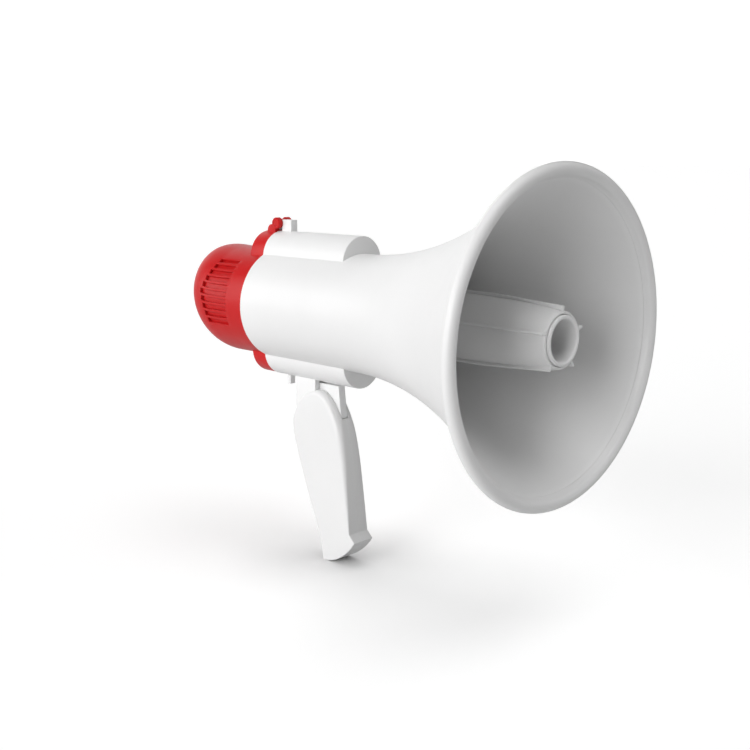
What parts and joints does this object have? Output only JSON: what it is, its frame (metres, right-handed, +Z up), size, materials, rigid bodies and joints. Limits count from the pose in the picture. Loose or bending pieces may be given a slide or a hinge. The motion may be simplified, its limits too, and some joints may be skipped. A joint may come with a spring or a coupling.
{
  "type": "handheld megaphone",
  "caption": "Hand-held horn loudspeaker with battery pods above and below its barrel, hinged vented rear cap, folding pistol grip and finger trigger.",
  "frame": {"origin": "centre of the hand grip, midway between its two flat sides", "axes": "+X forward out of the horn's mouth, parallel to the horn's axis; +Y to the speaker's left; +Z up"},
  "size_m": [0.3699, 0.23, 0.3203],
  "materials": {
    "white_plastic": "satin moulded, soft broad highlights",
    "red_plastic": "satin moulded",
    "trigger_plastic": "satin moulded",
    "grey_plastic": "moulded, fine grain",
    "steel": "zinc plated",
    "ferrite": "sintered, dull",
    "mylar": "film",
    "black_rubber": "matt",
    "circuit_board": "solder mask",
    "cell_jacket": "printed jacket, plain",
    "capacitor_can": "satin",
    "brass": "satin",
    "red_wire": "wire jacket",
    "black_wire": "wire jacket"
  },
  "bodies": {
    "horn": {"horn_shell": "white_plastic", "rim_ring": "white_plastic", "reflector_sleeve": "white_plastic", "reflector_cup": "white_plastic", "throat_tube": "white_plastic", "driver_plate": "white_plastic", "board_post_1": "white_plastic", "board_post_2": "white_plastic", "hinge_lug": "white_plastic", "handle_bracket": "white_plastic", "driver_frame": "grey_plastic", "battery_tube_top": "grey_plastic", "battery_tube_bottom": "grey_plastic", "driver_yoke": "steel", "driver_screw_1": "steel", "driver_screw_2": "steel", "battery_spring_top": "steel", "battery_spring_bottom": "steel", "board_screw_1": "steel", "board_screw_2": "steel", "lug_screw": "steel", "bracket_screw_1": "steel", "bracket_screw_2": "steel", "driver_magnet": "ferrite", "output_transformer": "ferrite", "driver_diaphragm": "mylar", "amplifier_board": "circuit_board", "battery_cell_1": "cell_jacket", "battery_cell_2": "cell_jacket", "battery_cell_3": "cell_jacket", "battery_cell_4": "cell_jacket", "capacitor": "capacitor_can", "heat_sink": "capacitor_can", "speaker_wire_red": "red_wire", "speaker_wire_black": "black_wire"},
    "cap": {"rear_cap": "red_plastic", "hinge_pin": "red_plastic", "vent_liner_left": "red_plastic", "vent_liner_right": "red_plastic", "mic_grille": "grey_plastic", "mic_boot": "black_rubber", "mic_capsule": "steel", "contact_strip_top": "brass", "contact_strip_bottom": "brass", "volume_pot": "steel"},
    "knob": {"volume_knob": "grey_plastic"},
    "latch": {"latch_leaf": "steel", "latch_button": "white_plastic"},
    "grip": {"handle_left": "white_plastic", "handle_right": "white_plastic", "handle_screw_1": "steel", "handle_screw_2": "steel", "fold_pin": "steel", "trigger_pin": "steel", "trigger_spring": "steel", "talk_switch": "black_rubber"},
    "trigger": {"trigger": "trigger_plastic"}
  },
  "joints": [
    {"name": "cap_hinge", "type": "hinge", "parent": "horn", "child": "cap", "pos_m": [-0.0571, 0, 0.1973], "axis": [0, 1, 0], "range_deg": [0, 100]},
    {"name": "latch_press", "type": "hinge", "parent": "horn", "child": "latch", "pos_m": [-0.0155, 0, 0.0762], "axis": [0, 1, 0], "range_deg": [0, 3.2], "stiffness_Nm_per_rad": 2.5, "springref_deg": -1.15},
    {"name": "grip_fold", "type": "hinge", "parent": "horn", "child": "grip", "pos_m": [-0.017, 0, 0.0446], "axis": [0, 1, 0], "range_deg": [0, 90]},
    {"name": "trigger_squeeze", "type": "hinge", "parent": "grip", "child": "trigger", "pos_m": [0.0094, 0, 0.0331], "axis": [0, -1, 0], "range_deg": [0, 7], "stiffness_Nm_per_rad": 0.6, "springref_deg": -4.58},
    {"name": "volume_turn", "type": "hinge", "parent": "cap", "child": "knob", "pos_m": [-0.1366, 0, 0.121], "axis": [1, 0, 0], "range_deg": [0, 280]}
  ]
}
